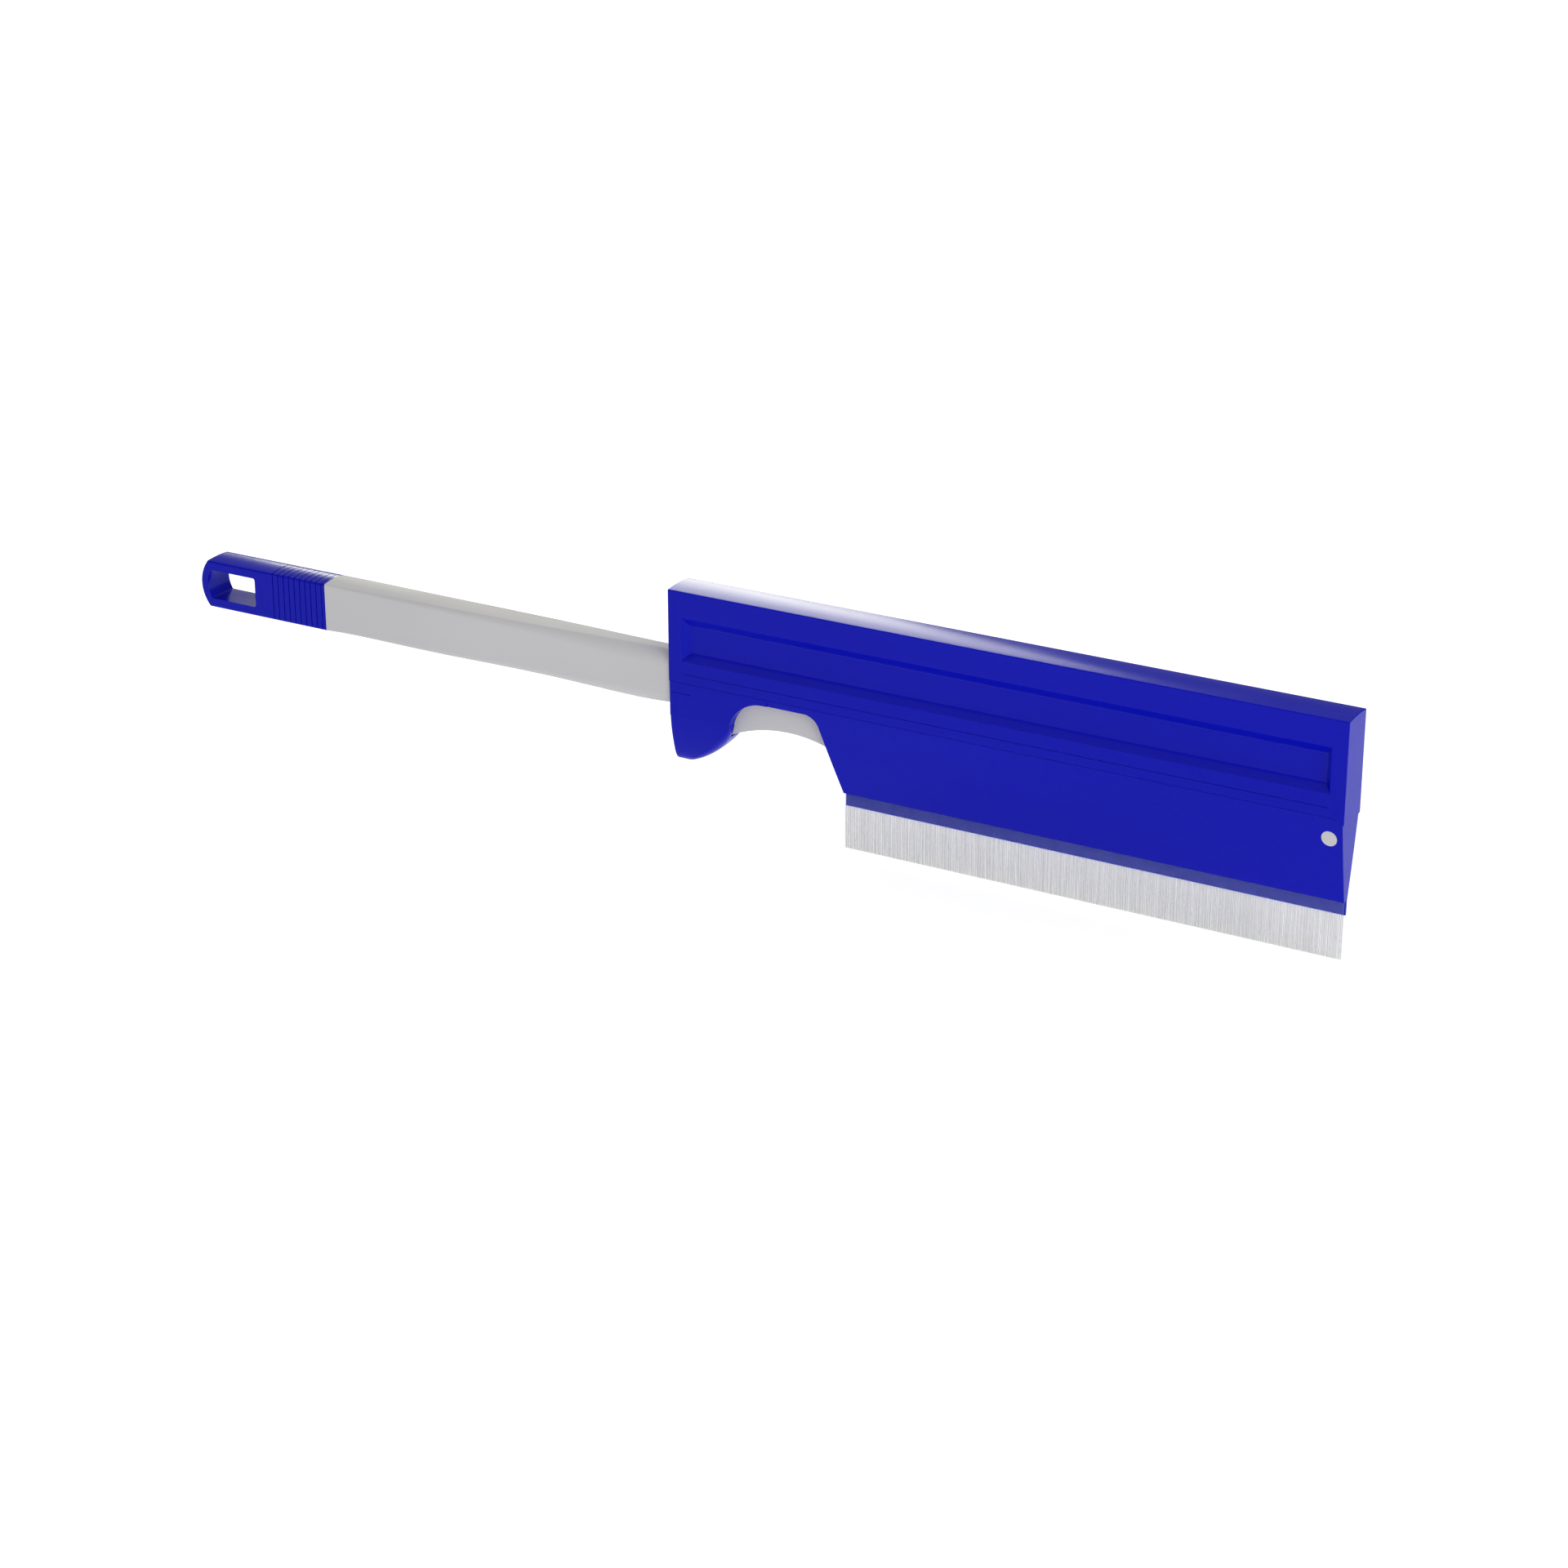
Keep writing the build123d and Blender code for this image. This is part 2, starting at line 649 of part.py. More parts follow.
with BuildPart() as brush_block:
    # outer form: wedge, thicker knob, both trimmed to the side outline
    extrude(wedge_section(section_change), amount=block_right - section_change)
    with BuildSketch(Plane.XZ):
        with Locations(((block_left + section_change) / 2, seam_z - knob_straight / 2)):
            Rectangle(section_change - block_left, knob_straight)
    extrude(amount=half, both=True)
    extrude(block_outline(), amount=half, both=True, mode=Mode.INTERSECT)
    for depth, reach_right, half_width, corner in knob_levels:
        add(knob_level(depth, head_left + reach_right, half_width, corner))
    loft()
    # pocket in the knob, hollow of the wedge, and the open-topped slot that the arm lies in
    hollow(block_left + wall, head_left + knob_hollow_end, seam_z - knob_hollow_depth, seam_z, knob_hollow_half)
    hollow(block_left + wall, head_left + knob_pocket_end, seam_z - pocket_depth, seam_z, knob_pocket_half)
    extrude(
        wedge_section(wedge_hollow_left, shell_wall, cavity_depth),
        amount=end_wall_x - wedge_hollow_left,
        mode=Mode.SUBTRACT,
    )
    hollow(head_left + arm_slot_start, wedge_hollow_left + 1, seam_z - arm_slot_depth, seam_z, slot_half)
    hollow(
        head_left + stop_slot_start, head_left + stop_slot_end,
        seam_z - stop_slot_depth, seam_z, slot_half,
    )
    hollow(block_left - 1, block_left + wall + 1, seam_z - neck_slot_depth, seam_z, neck_slot_half)
    # hubs round the pivot
    for side in (-1, 1):
        with BuildSketch(Plane.XZ.offset(side * hub_face)):
            with Locations((pin_x, pin_z)):
                Circle(hub_r)
        extrude(amount=side * hub_height)
        with BuildSketch(Plane.XZ.offset(side * head_seat)):
            with Locations((pin_x, pin_z)):
                Circle(pin_head_r)
        extrude(amount=side * head_seat_cut, mode=Mode.SUBTRACT)
    with BuildSketch(Plane.XZ):
        with Locations((pin_x, pin_z)):
            Circle(pin_shank_r)
    extrude(amount=half, both=True, mode=Mode.SUBTRACT)
    # boss for the tail screw
    with BuildSketch(Plane.XZ):
        with Locations(tail_screw):
            Circle(tail_boss_r)
    extrude(amount=tail_boss_half, both=True)
    # pocket for the bristle channel
    with BuildSketch(Plane.YZ.offset(bristle_left)):
        with Locations(((channel_front + channel_back) / 2, (channel_top + wedge_bottom - 1) / 2)):
            Rectangle(channel_back - channel_front, channel_top - wedge_bottom + 1)
    extrude(amount=strip_right - bristle_left, mode=Mode.SUBTRACT)
    # lip behind the bristles
    with BuildSketch(Plane.YZ.offset(bristle_left)):
        with BuildLine():
            Polyline(
                (channel_back, wedge_bottom + lip_overlap),
                (wedge_edge_half, wedge_bottom + lip_overlap),
                (wedge_edge_half, wedge_bottom),
                (wedge_edge_half - lip_taper, lip_bottom),
                (channel_back, lip_bottom),
                close=True,
            )
        make_face()
    extrude(amount=block_right - bristle_left)
    # screw holes with their head pockets
    for solid, spots, radius, seat in (
        (knob_screw_solid, [knob_screw], knob_screw_head_r, knob_screw_top),
        (tail_screw_solid, [tail_screw], tail_screw_head_r, tail_screw_top),
        (clamp_screw_solid, clamp_spots, clamp_screw_head_r, clamp_screw_top),
    ):
        add(solid, mode=Mode.SUBTRACT)
        with BuildSketch(Plane.XZ.offset(-seat)):
            with Locations(*spots):
                Circle(radius)
        extrude(amount=-head_pocket_depth, mode=Mode.SUBTRACT)
    # seat for the stop plug
    with BuildSketch(Plane.XY.offset(plug_bottom)):
        with Locations((plug_x, 0)):
            Circle(plug_r)
    extrude(amount=plug_top - plug_bottom, mode=Mode.SUBTRACT)
    # post for the catch spring, inside the back of the knob
    with BuildSketch(Plane.XZ.offset(-catch_face - catch_post_gap)):
        with Locations(catch_post_centre):
            Rectangle(*catch_post_size)
    extrude(amount=-catch_post_height)
    with BuildSketch(Plane.XZ.offset(-catch_face)):
        with Locations(*catch_spots):
            Circle(rivet_hole_r)
    extrude(amount=-rivet_hole_depth, mode=Mode.SUBTRACT)
    # short fine line on the front of the knob
    with BuildSketch(Plane.XZ.offset(half)):
        with Locations(at(*knob_line_place)):
            Rectangle(knob_line_length, fine_line_width)
    extrude(amount=-fine_line_depth, mode=Mode.SUBTRACT)

with BuildPart() as brush_front_shell:
    add(brush_block.part)
    split(bisect_by=Plane.XZ, keep=Keep.TOP)
save(brush_front_shell, "brush_front_shell")

with BuildPart() as brush_rear_shell:
    add(brush_block.part)
    split(bisect_by=Plane.XZ, keep=Keep.BOTTOM)
save(brush_rear_shell, "brush_rear_shell")

with BuildPart() as shell_screws:
    add(knob_screw_solid)
    add(tail_screw_solid)
save(shell_screws, "shell_screws")

with BuildPart() as clamp_screws:
    add(clamp_screw_solid)
save(clamp_screws, "clamp_screws")

# ---------------------------------------------------------------- pivot
with BuildPart() as pivot_pin:
    with BuildSketch(Plane.XZ.offset(head_seat)):
        with Locations((pin_x, pin_z)):
            Circle(pin_head_r)
    extrude(amount=5)
    with BuildSketch(Plane.XZ.offset(head_seat + 0.5)):
        with Locations((pin_x, pin_z)):
            Circle(pin_shank_r)
    extrude(amount=-head_seat - 0.5 - 7.0)
    extrude(wedge_section(pin_x - 6), amount=12, mode=Mode.INTERSECT)
save(pivot_pin, "pivot_pin")

with BuildPart() as pin_cap:
    with BuildSketch(Plane.XZ.offset(-head_seat)):
        with Locations((pin_x, pin_z)):
            Circle(pin_head_r)
    extrude(amount=-5)
    extrude(wedge_section(pin_x - 6), amount=12, mode=Mode.INTERSECT)
    with BuildSketch(Plane.XZ.offset(-head_seat)):
        with Locations((pin_x, pin_z)):
            Circle(pin_shank_r)
    extrude(amount=-(7.0 - head_seat), mode=Mode.SUBTRACT)
save(pin_cap, "pin_cap")

with BuildPart() as friction_washers:
    for side in (-1, 1):
        with BuildSketch(Plane.XZ.offset(side * (arm_half + 0.1))):
            with Locations((pin_x, pin_z)):
                Circle(hub_r - 0.1)
                Circle(pin_shank_r, mode=Mode.SUBTRACT)
        extrude(amount=side * (hub_face - arm_half - 0.1))
save(friction_washers, "friction_washers")

# ---------------------------------------------------------------- bristle strip
with BuildPart() as bristle_channel:
    with BuildSketch(Plane.YZ.offset(bristle_left)):
        with Locations(((channel_front + channel_back) / 2, (channel_top + channel_bottom) / 2)):
            Rectangle(channel_back - channel_front, channel_top - channel_bottom)
        with Locations(((channel_front + channel_back) / 2, (channel_top + channel_bottom) / 2 - channel_sheet)):
            Rectangle(bristle_back - bristle_front, channel_top - channel_bottom, mode=Mode.SUBTRACT)
    extrude(amount=strip_right - bristle_left)
save(bristle_channel, "bristle_channel")

with BuildPart() as core_wire:
    with BuildSketch(Plane.YZ.offset(bristle_left)):
        with Locations(((bristle_front + bristle_back) / 2, channel_top - channel_sheet - wire_r)):
            Circle(wire_r)
    extrude(amount=strip_right - bristle_left)
save(core_wire, "core_wire")

with BuildPart() as bristles:
    with BuildSketch(Plane.YZ.offset(bristle_left)):
        slab_top = channel_top - channel_sheet - 2 * wire_r
        with Locations(((bristle_front + bristle_back) / 2, slab_top / 2)):
            Rectangle(bristle_back - bristle_front, slab_top)
    extrude(amount=strip_right - bristle_left)
save(bristles, "bristles")

# ---------------------------------------------------------------- catch and stop
with BuildPart() as catch_spring:
    with BuildSketch(Plane.XY.offset(seam_z - 12)):
        with BuildLine():
            Polyline(
                at_y(3.6, catch_face), at_y(20, catch_face), at_y(24, arm_half + 0.25),
                at_y(27, catch_face + 0.2), at_y(27, catch_face + 0.6), at_y(24, arm_half + 0.65),
                at_y(20.4, catch_face + 0.4), at_y(3.6, catch_face + 0.4), close=True,
            )
        make_face()
    extrude(amount=6)
    with BuildSketch(Plane.XZ.offset(-catch_face - 0.4)):
        with Locations(*catch_spots):
            Circle(0.8)
    extrude(amount=0.4, mode=Mode.SUBTRACT)
save(catch_spring, "catch_spring")

with BuildPart() as catch_rivets:
    with BuildSketch(Plane.XZ.offset(-catch_face + 0.5)):
        with Locations(*catch_spots):
            Circle(1.5)
    extrude(amount=-0.5)
    with BuildSketch(Plane.XZ.offset(-catch_face + 0.2)):
        with Locations(*catch_spots):
            Circle(0.8)
    extrude(amount=-2.4)
save(catch_rivets, "catch_rivets")

with BuildPart() as stop_plug:
    with BuildSketch(Plane.XY.offset(plug_bottom)):
        with Locations((plug_x, 0)):
            Circle(plug_r)
    extrude(amount=plug_top - 0.2 - plug_bottom)
save(stop_plug, "stop_plug")
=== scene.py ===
# %% [markdown]
# # A long-handled algae scraper
# The tool is a slim grey handle, a hollow blue head and one thin row of nylon filaments. Everything that is
# hard and has a size, such as the shells, the pin and the screws, is already solid in the frame, so this
# lesson keeps those shapes and gives them finishes. Only the filaments are built here, because a brush is
# thousands of hairs and no solid block can look like one.

# %% Load the fixed frame
import bpy
import json
from math import cos, pi, radians, sin

import numpy as np
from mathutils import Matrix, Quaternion, Vector


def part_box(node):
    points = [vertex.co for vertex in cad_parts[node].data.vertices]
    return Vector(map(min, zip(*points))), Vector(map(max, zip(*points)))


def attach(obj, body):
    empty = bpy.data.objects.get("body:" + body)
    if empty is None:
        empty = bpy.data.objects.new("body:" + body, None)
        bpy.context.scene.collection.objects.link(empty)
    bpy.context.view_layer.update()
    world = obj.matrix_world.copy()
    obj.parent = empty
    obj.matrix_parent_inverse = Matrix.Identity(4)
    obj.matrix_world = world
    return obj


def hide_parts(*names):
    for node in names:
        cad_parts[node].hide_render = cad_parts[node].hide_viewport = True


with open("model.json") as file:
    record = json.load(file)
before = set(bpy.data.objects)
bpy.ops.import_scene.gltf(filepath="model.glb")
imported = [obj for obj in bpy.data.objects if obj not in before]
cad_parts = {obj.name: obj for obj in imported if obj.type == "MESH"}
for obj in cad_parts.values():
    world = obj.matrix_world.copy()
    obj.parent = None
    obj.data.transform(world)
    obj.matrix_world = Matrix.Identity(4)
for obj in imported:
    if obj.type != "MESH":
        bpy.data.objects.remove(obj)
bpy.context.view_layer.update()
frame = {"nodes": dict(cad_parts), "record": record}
nodes = frame["nodes"]
scene = bpy.context.scene
print("pieces in the frame:", len(nodes))

# %% [markdown]
# ## Camera first
# A long lens flattens the slanting edges of a long, thin object, so the handle and the head keep their
# proportions. The camera stands in front, to the right and a little above. It is placed by a point to look at,
# two angles and a distance, which are easy to reason about, and not by typed coordinates.

# %% Camera
head_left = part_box("spine_cap")[0].x
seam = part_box("brush_front_shell")[1].z
look_at = Vector((head_left + 0.0598, 0.0, seam - 0.04645))
azimuth = radians(30.15)
elevation = radians(22.58)
camera_distance = 1.8017
farthest_seen = 50.0
lens_mm = 84.02
sensor_mm = 36.0
roll = radians(-0.148)

away = Vector((sin(azimuth) * cos(elevation), -cos(azimuth) * cos(elevation), sin(elevation)))
camera = bpy.data.objects.new("camera", bpy.data.cameras.new("camera"))
scene.collection.objects.link(camera)
camera.location = look_at + away * camera_distance
camera.data.lens = lens_mm
camera.data.sensor_width = sensor_mm
camera.data.clip_end = farthest_seen
camera.rotation_mode = "QUATERNION"
camera.rotation_quaternion = away.to_track_quat("Z", "Y") @ Quaternion((0, 0, 1), roll)
scene.camera = camera
print("camera at", [round(c, 3) for c in camera.location])

# %% [markdown]
# ## Light
# Glossy plastic shows its surroundings more than its own colour, so each light is placed by the face that
# mirrors it. A tall soft lamp far behind and to the left is what the top faces mirror. It turns them nearly
# white near the handle and lets them fade to blue towards the pivot. A smaller lamp in front and to the right
# lights the broad face and the end. Lamps could light everything, but the mirrored edges would then be hard.

# %% Two soft lamps
scene.view_settings.view_transform = "Standard"
scene.view_settings.look = "None"


def soft_lamp(name, place, aim, width, height, watts, tint=(1.0, 1.0, 1.0)):
    """A rectangular soft lamp that points at a place."""
    data = bpy.data.lights.new(name, "AREA")
    data.shape = "RECTANGLE"
    data.size = width
    data.size_y = height
    data.energy = watts
    data.color = tint
    lamp = bpy.data.objects.new(name, data)
    scene.collection.objects.link(lamp)
    lamp.location = place
    lamp.rotation_euler = (Vector(aim) - Vector(place)).to_track_quat("-Z", "Y").to_euler()


def around(turn, rise, distance):
    """A place around the head: turn from straight behind towards the handle, rise above the floor."""
    turn, rise = radians(turn), radians(rise)
    return Vector((-sin(turn) * cos(rise), cos(turn) * cos(rise), sin(rise))) * distance


middle = Vector((0.0, 0.0, 0.06))
tops_place = around(turn=32.6, rise=20.5, distance=6.0) + middle
tops_width, tops_height = 1.36, 2.5
tops_watts = 84
tops_tint = (1.0, 0.99, 0.80)
front_place = around(turn=-120, rise=14, distance=3.0) + middle
front_width, front_height = 1.6, 1.2
front_watts = 34
soft_lamp("mirror_for_tops", tops_place, middle, tops_width, tops_height, tops_watts, tops_tint)
soft_lamp("front_right", front_place, middle, front_width, front_height, front_watts)

# %% [markdown]
# ## A studio dome
# The rest of the light is a dome round the whole scene, bright overhead and dim near the horizon, like a room
# with a lit ceiling. An upright face then keeps its own colour, because it mirrors the dim part. The camera
# sees the dome as plain white, which makes the backdrop. The Light Path node tells the two apart.

# %% Studio dome
dome_low, dome_high = 0.45, 0.75
dim_light, bright_light = 0.28, 0.95
backdrop_light = 1.05
white = (1.0, 1.0, 1.0, 1.0)

world = bpy.data.worlds.new("studio_dome")
world.use_nodes = True
dome = world.node_tree
direction = dome.nodes.new("ShaderNodeTexCoord")
parts = dome.nodes.new("ShaderNodeSeparateXYZ")
rise = dome.nodes.new("ShaderNodeMapRange")
rise.inputs["From Min"].default_value = dome_low
rise.inputs["From Max"].default_value = dome_high
rise.inputs["To Min"].default_value = dim_light
rise.inputs["To Max"].default_value = bright_light
dome.links.new(direction.outputs["Generated"], parts.inputs["Vector"])
dome.links.new(parts.outputs["Z"], rise.inputs["Value"])
dome.links.new(rise.outputs["Result"], dome.nodes["Background"].inputs["Strength"])
dome.nodes["Background"].inputs["Color"].default_value = white
backdrop = dome.nodes.new("ShaderNodeBackground")
backdrop.inputs["Color"].default_value = white
backdrop.inputs["Strength"].default_value = backdrop_light
seen_directly = dome.nodes.new("ShaderNodeLightPath")
either = dome.nodes.new("ShaderNodeMixShader")
dome.links.new(seen_directly.outputs["Is Camera Ray"], either.inputs["Fac"])
dome.links.new(dome.nodes["Background"].outputs["Background"], either.inputs[1])
dome.links.new(backdrop.outputs["Background"], either.inputs[2])
dome.links.new(either.outputs["Shader"], dome.nodes["World Output"].inputs["Surface"])
scene.world = world
print("dome strength:", dim_light, "to", bright_light)

# %% [markdown]
# ## The floor
# A plain sheet a hair below the filament tips, so that the two surfaces never flicker through each other. It is
# wide enough that its far edge is out of the camera's view.

# %% Floor
floor_reach = 8.0
floor_drop = 0.0002
floor_corners = [(-1, -1), (1, -1), (1, 1), (-1, 1)]
floor_mesh = bpy.data.meshes.new("floor")
floor_mesh.from_pydata([(x * floor_reach, y * floor_reach, 0) for x, y in floor_corners], [], [(0, 1, 2, 3)])
floor = bpy.data.objects.new("floor", floor_mesh)
scene.collection.objects.link(floor)
floor.location.z = -floor_drop
print("floor, metres across:", 2 * floor_reach)

# %% [markdown]
# ## Finishes
# Each finish is a small node graph in the object's own metres, so its grain has a real size wherever it is
# used. A moulded plastic is never one flat colour: the pigment drifts a little, the polish of the mould varies,
# and handling leaves hair-fine rubs. Five small helpers cover every finish: one sets up the shader, one makes a
# grain, one maps it onto a range, one blends two colours by it, and one turns it into fine relief.

# %% Finish helpers


def new_finish(name, roughness, metallic=0.0, specular=0.5):
    """A material with its main shader ready."""
    finish = bpy.data.materials.new(name)
    finish.use_nodes = True
    shader = finish.node_tree.nodes["Principled BSDF"]
    shader.inputs["Roughness"].default_value = roughness
    shader.inputs["Metallic"].default_value = metallic
    shader.inputs["Specular IOR Level"].default_value = specular
    return finish, finish.node_tree, shader


def grain(tree, scale, detail, stretch=(1.0, 1.0, 1.0)):
    """Noise in object metres, stretched along the axes."""
    place = tree.nodes.new("ShaderNodeTexCoord")
    mapping = tree.nodes.new("ShaderNodeMapping")
    mapping.inputs["Scale"].default_value = stretch
    noise = tree.nodes.new("ShaderNodeTexNoise")
    noise.inputs["Scale"].default_value = scale
    noise.inputs["Detail"].default_value = detail
    tree.links.new(place.outputs["Object"], mapping.inputs["Vector"])
    tree.links.new(mapping.outputs["Vector"], noise.inputs["Vector"])
    return noise.outputs["Fac"]


grain_low, grain_high = 0.35, 0.65


def between(tree, factor, low, high):
    """Map the middle of a grain onto a range of values."""
    ramp = tree.nodes.new("ShaderNodeMapRange")
    ramp.inputs["From Min"].default_value = grain_low
    ramp.inputs["From Max"].default_value = grain_high
    ramp.inputs["To Min"].default_value = low
    ramp.inputs["To Max"].default_value = high
    tree.links.new(factor, ramp.inputs["Value"])
    return ramp.outputs["Result"]


def two_colours(tree, factor, first, second):
    """Blend two colours by a grain."""
    mix = tree.nodes.new("ShaderNodeMix")
    mix.data_type = "RGBA"
    mix.inputs["A"].default_value = (*first, 1.0)
    mix.inputs["B"].default_value = (*second, 1.0)
    tree.links.new(factor, mix.inputs["Factor"])
    return mix.outputs["Result"]


def bumpy(tree, shader, height, depth, strength):
    """Fine relief from a grain, its depth in metres."""
    bump = tree.nodes.new("ShaderNodeBump")
    bump.inputs["Distance"].default_value = depth
    bump.inputs["Strength"].default_value = strength
    tree.links.new(height, bump.inputs["Height"])
    tree.links.new(bump.outputs["Normal"], shader.inputs["Normal"])


print("finish helpers: new_finish, grain, between, two_colours, bumpy")

# %% [markdown]
# ## Moulded plastics
# The blue shells come from a polished mould, so they are smooth, with only a trace of flow in the pigment.
# The grey handle comes from a finely blasted mould: its grain scatters the light and it reads as satin. Both
# have a low specular level, because the pale floor would otherwise wash out the deep blue.

# %% Blue and grey plastic


def moulded_plastic(name, dark, light, rough_low, rough_high, specular, grain_depth, grain_scale):
    """Plastic with a drift of pigment, hair-fine rubs and the fine relief of its mould."""
    finish, tree, shader = new_finish(name, rough_high, specular=specular)
    flow = grain(tree, scale=9.0, detail=3.0, stretch=(0.35, 1.0, 1.0))
    tree.links.new(two_colours(tree, between(tree, flow, 0.0, 1.0), dark, light), shader.inputs["Base Color"])
    rubs = grain(tree, scale=60.0, detail=6.0, stretch=(0.12, 1.0, 1.0))
    tree.links.new(between(tree, rubs, rough_low, rough_high), shader.inputs["Roughness"])
    bumpy(tree, shader, grain(tree, grain_scale, detail=2.0), grain_depth, strength=0.5)
    return finish


blue = moulded_plastic(
    "blue_plastic", dark=(0.0004, 0.0024, 0.345), light=(0.0012, 0.0034, 0.395),
    rough_low=0.17, rough_high=0.26, specular=0.10, grain_depth=0.00002, grain_scale=900.0,
)
grey = moulded_plastic(
    "grey_plastic", dark=(0.48, 0.475, 0.49), light=(0.525, 0.52, 0.535),
    rough_low=0.48, rough_high=0.60, specular=0.1, grain_depth=0.00004, grain_scale=2200.0,
)
print("plastics:", blue.name, grey.name)

# %% [markdown]
# ## Metals, bearing plastic and rubber
# Steel strip and screws are brushed: noise drawn out along the length gives the lay of the brushing. Brass
# inserts are turned. The bearing plastic is smooth and milky, and the stop is matt black rubber.

# %% Metal, acetal and rubber
smoother_by, rougher_by = 0.08, 0.1


def brushed_metal(name, dark, light, roughness, lay):
    """Metal with scratches drawn out along the lay of the brushing."""
    finish, tree, shader = new_finish(name, roughness, metallic=1.0)
    scratches = grain(tree, scale=1400.0, detail=4.0, stretch=lay)
    tree.links.new(two_colours(tree, scratches, dark, light), shader.inputs["Base Color"])
    polish = between(tree, scratches, roughness - smoother_by, roughness + rougher_by)
    tree.links.new(polish, shader.inputs["Roughness"])
    bumpy(tree, shader, scratches, depth=0.00001, strength=0.4)
    return finish


lengthwise = (0.02, 1.0, 1.0)
turned = (1.0, 0.05, 1.0)
steel = brushed_metal(
    "stainless_steel", dark=(0.33, 0.34, 0.35), light=(0.56, 0.56, 0.57), roughness=0.28, lay=lengthwise
)
aluminium = brushed_metal(
    "aluminium_bar", dark=(0.46, 0.47, 0.49), light=(0.64, 0.64, 0.66), roughness=0.34, lay=lengthwise
)
brass = brushed_metal("brass", dark=(0.60, 0.42, 0.16), light=(0.80, 0.60, 0.28), roughness=0.26, lay=turned)
acetal = moulded_plastic(
    "acetal", dark=(0.78, 0.78, 0.75), light=(0.86, 0.86, 0.83),
    rough_low=0.3, rough_high=0.4, specular=0.5, grain_depth=0.00002, grain_scale=1500.0,
)
rubber = moulded_plastic(
    "rubber", dark=(0.018, 0.018, 0.018), light=(0.03, 0.03, 0.03),
    rough_low=0.7, rough_high=0.85, specular=0.3, grain_depth=0.00005, grain_scale=1200.0,
)

finishes = {
    "blue_plastic": blue,
    "grey_plastic": grey,
    "stainless_steel": steel,
    "aluminium_bar": aluminium,
    "brass": brass,
    "acetal": acetal,
    "rubber": rubber,
}
for part in frame["record"]["subparts"]:
    finish = finishes.get(part["material_slot"])
    if finish:
        mesh = nodes[part["node"]].data
        mesh.materials.clear()
        mesh.materials.append(finish)
print("finished:", sorted(finishes))

# %% [markdown]
# ## Nylon filaments
# A strip brush is a row of straight nylon filaments folded over a wire and clamped in a channel. They leave
# it nearly parallel, and tiny differences in lean and length make the fine lines and the slightly ragged tips.
# Each one is a slim four-sided rod of a few segments, set in eight rows so that the strip has a thickness. All
# of them go into one mesh, which is far lighter than thousands of objects. Blender's hair could grow them too,
# but a mesh keeps their length exact, and a seeded generator gives the same brush every time.

# %% Build the filaments
filament_count = 3600
filament_radius = 0.000065
ring_count = 4
row_count = 8
row_step = 3
root_sink = 0.0015
place_jitter = 0.3       # parts of the spacing along the row
row_jitter = 0.4         # parts of a row's depth
lean_along, lean_across = 0.00007, 0.00010
curl_spread = 0.00004
tip_spread = 0.00012
rng = np.random.default_rng(11)

slab_low, slab_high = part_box("bristles")
root_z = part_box("bristle_channel")[0].z + root_sink
lip_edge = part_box("brush_rear_shell")[0].z
tip_z = slab_low.z

order = np.arange(filament_count)
row = (order * row_step) % row_count
spots = (order + 0.5 + rng.uniform(-place_jitter, place_jitter, filament_count)) / filament_count
spots = np.clip(spots, 0.0, 1.0)
margin = filament_radius * 2
root_x = slab_low.x + margin + spots * (slab_high.x - slab_low.x - 2 * margin)
row_depth = (slab_high.y - slab_low.y - 2 * margin) / row_count
row_shift = rng.uniform(-row_jitter, row_jitter, filament_count)
root_y = slab_low.y + margin + (row + 0.5 + row_shift) * row_depth
lean_x = rng.normal(0.0, lean_along, filament_count)
lean_y = rng.normal(0.0, lean_across, filament_count)
curl_x = rng.normal(0.0, curl_spread, filament_count)
short = np.abs(rng.normal(0.0, tip_spread, filament_count))
turn = rng.uniform(0.0, pi / 2, filament_count)

along = np.linspace(0.0, 1.0, ring_count)
corner = np.arange(4) * pi / 2
tip_x = np.clip(root_x[:, None] + lean_x[:, None] * along + curl_x[:, None] * np.sin(pi * along),
                slab_low.x + margin, slab_high.x - margin)
tip_y = np.clip(root_y[:, None] + lean_y[:, None] * along, slab_low.y + margin, slab_high.y - margin)
height = root_z + (tip_z + short[:, None] - root_z) * along
ring_x = tip_x[:, :, None] + filament_radius * np.cos(corner + turn[:, None, None])
ring_y = tip_y[:, :, None] + filament_radius * np.sin(corner + turn[:, None, None])
ring_z = np.repeat(height[:, :, None], 4, axis=2)
points = np.stack([ring_x, ring_y, ring_z], axis=-1).reshape(-1, 3)

one_rod = []
for ring in range(ring_count - 1):
    for side in range(4):
        a, b = ring * 4 + side, ring * 4 + (side + 1) % 4
        one_rod.append((b, a, a + 4, b + 4))
one_rod.append((0, 1, 2, 3))
last = (ring_count - 1) * 4
one_rod.append((last + 3, last + 2, last + 1, last))
one_rod = np.array(one_rod)
rods = (one_rod[None] + np.arange(filament_count)[:, None, None] * ring_count * 4).reshape(-1, 4)

filament_mesh = bpy.data.meshes.new("filaments")
filament_mesh.from_pydata(points.tolist(), [], rods.tolist())
filaments = bpy.data.objects.new("filaments", filament_mesh)
scene.collection.objects.link(filaments)
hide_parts("bristles")
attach(filaments, "brush")
print("filaments:", filament_count, "faces:", len(rods))

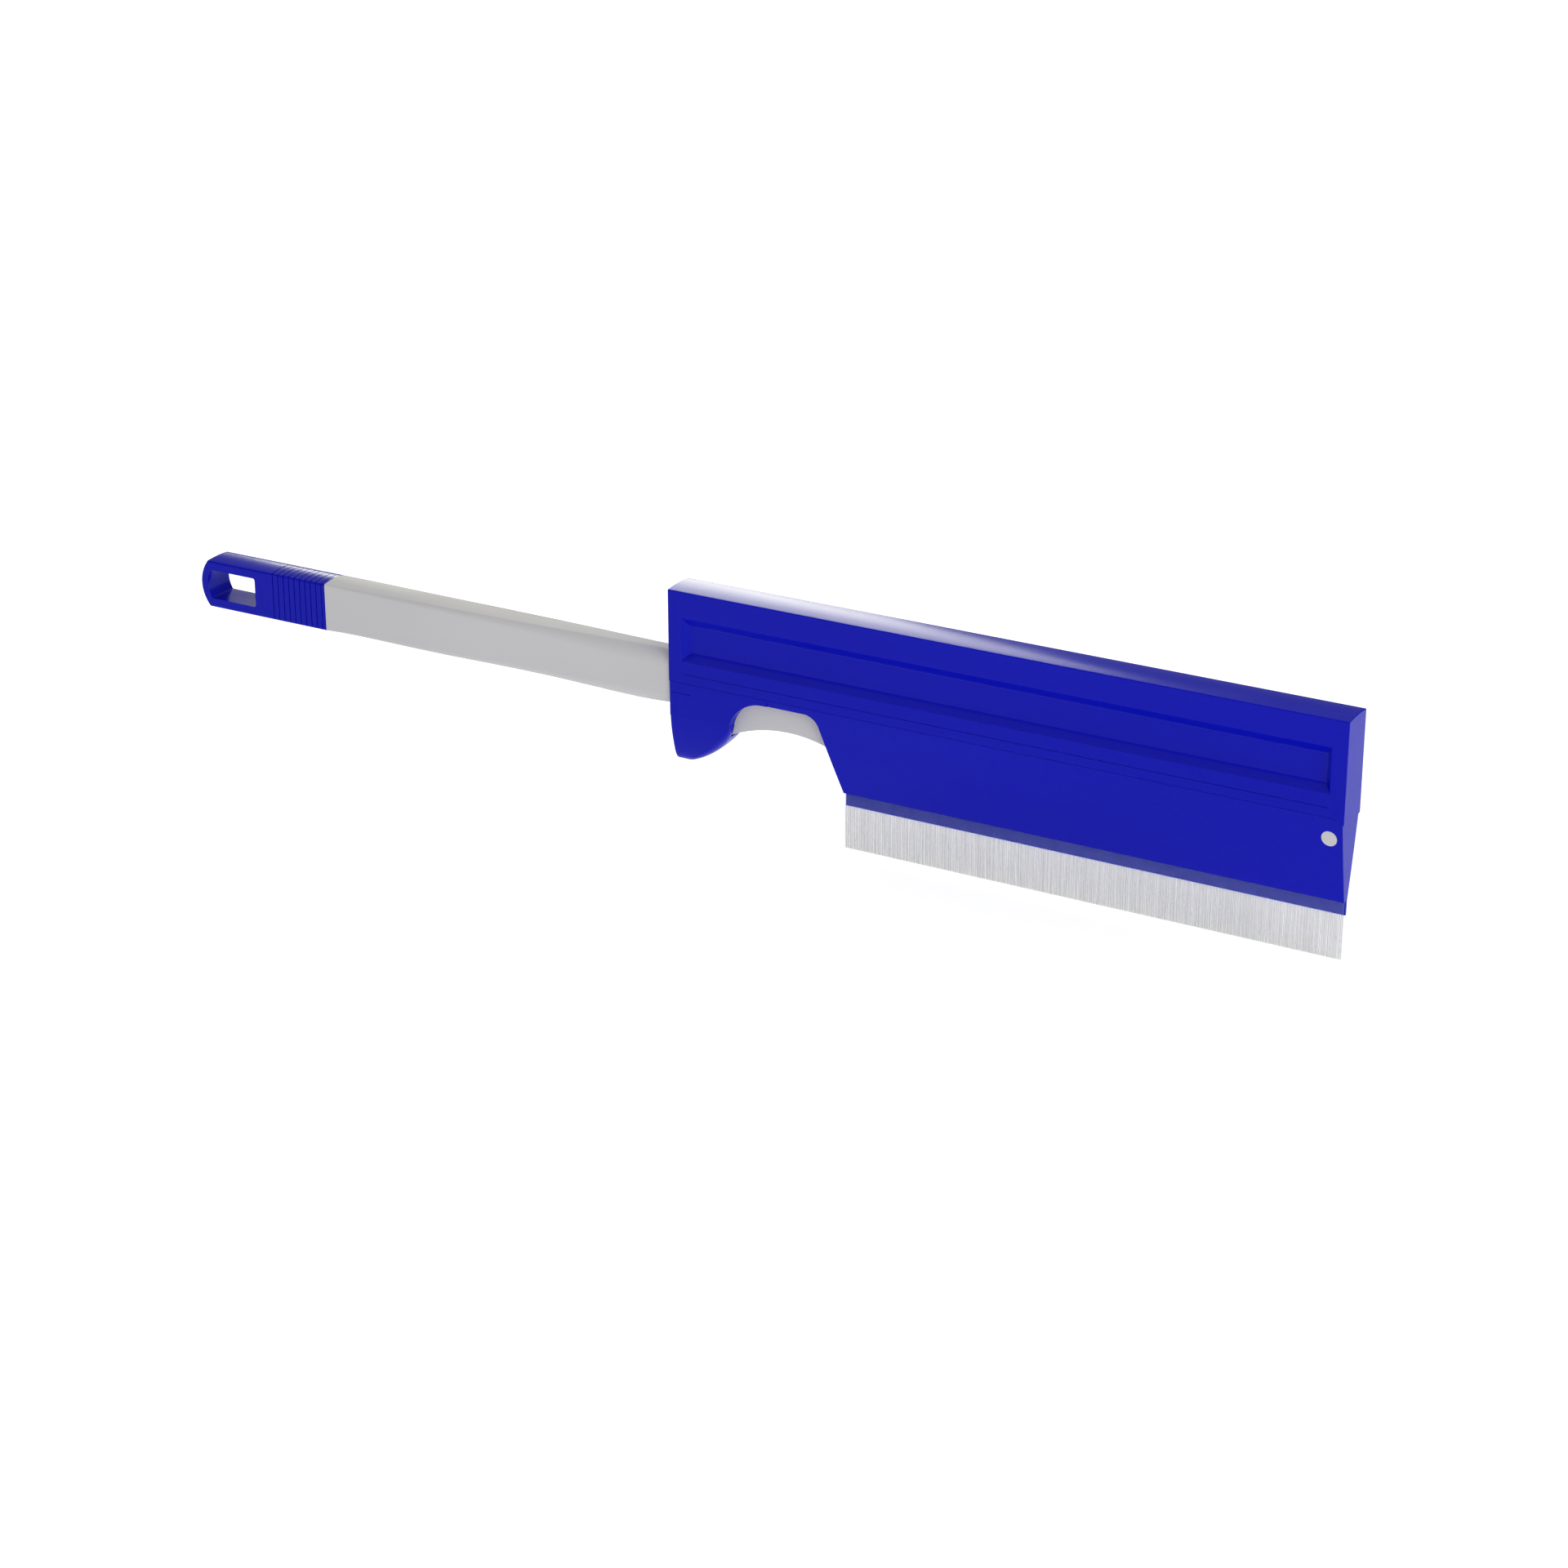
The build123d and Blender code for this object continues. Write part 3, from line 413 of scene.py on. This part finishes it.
# %% [markdown]
# ## Nylon
# Undyed nylon is milky and lets light through. Each filament is given the same low alpha, so several rows add
# up to a soft pale strip, as they do in the real one. Bands along the row stand for bunches that catch the
# light differently. The stretch in front of the blue lip is painted blue. This painted glow stands for the
# lip's blue light shining through the nylon. Tracing that light through every filament would need many more
# bounces.

# %% Nylon finish
nylon_alpha = 0.24
# Painted glow: the painted blue fades in over this short band round the lip's lower edge.
painted_glow_below, painted_glow_above = 0.0004, 0.0002
nylon, tree, shader = new_finish("nylon_bristle", 0.35, specular=0.4)
bands = grain(tree, scale=700.0, detail=3.0, stretch=(1.0, 0.01, 0.01))
pale = two_colours(tree, bands, (0.43, 0.43, 0.44), (0.49, 0.50, 0.51))
# Painted glow: this blue is painted light, standing in for the lip's colour seen through the nylon.
blue_glow_painted = two_colours(tree, bands, (0.12, 0.15, 0.62), (0.17, 0.20, 0.72))
place = tree.nodes.new("ShaderNodeTexCoord")
parts = tree.nodes.new("ShaderNodeSeparateXYZ")
# Mask of the painted glow: it is zero below the lip's lower edge and one above it.
painted_glow_mask = tree.nodes.new("ShaderNodeMapRange")
painted_glow_mask.inputs["From Min"].default_value = lip_edge - painted_glow_below
painted_glow_mask.inputs["From Max"].default_value = lip_edge + painted_glow_above
painted_glow_mix = tree.nodes.new("ShaderNodeMix")
painted_glow_mix.data_type = "RGBA"
tree.links.new(place.outputs["Object"], parts.inputs["Vector"])
tree.links.new(parts.outputs["Z"], painted_glow_mask.inputs["Value"])
tree.links.new(painted_glow_mask.outputs["Result"], painted_glow_mix.inputs["Factor"])
tree.links.new(pale, painted_glow_mix.inputs["A"])
tree.links.new(blue_glow_painted, painted_glow_mix.inputs["B"])
tree.links.new(painted_glow_mix.outputs["Result"], shader.inputs["Base Color"])
shader.inputs["Alpha"].default_value = nylon_alpha
filament_mesh.materials.append(nylon)
print("nylon is tinted above z =", round(lip_edge, 4))

# %% [markdown]
# ## White paper that glows
# The floor is lit a little from within, like a light table. It stays an even white under the whole tool while
# the lamps stay weak enough for the top faces to keep their colour. A brighter lamp would spoil them.

# %% Floor finish
floor_glow = 0.45
paper, tree, shader = new_finish("white_paper", 0.9, specular=0.1)
fibres = grain(tree, scale=3.0, detail=2.0)
paper_tone = two_colours(tree, fibres, (0.90, 0.90, 0.90), (0.92, 0.92, 0.92))
tree.links.new(paper_tone, shader.inputs["Base Color"])
shader.inputs["Emission Color"].default_value = white
shader.inputs["Emission Strength"].default_value = floor_glow
floor_mesh.materials.append(paper)
print("floor glow:", floor_glow)
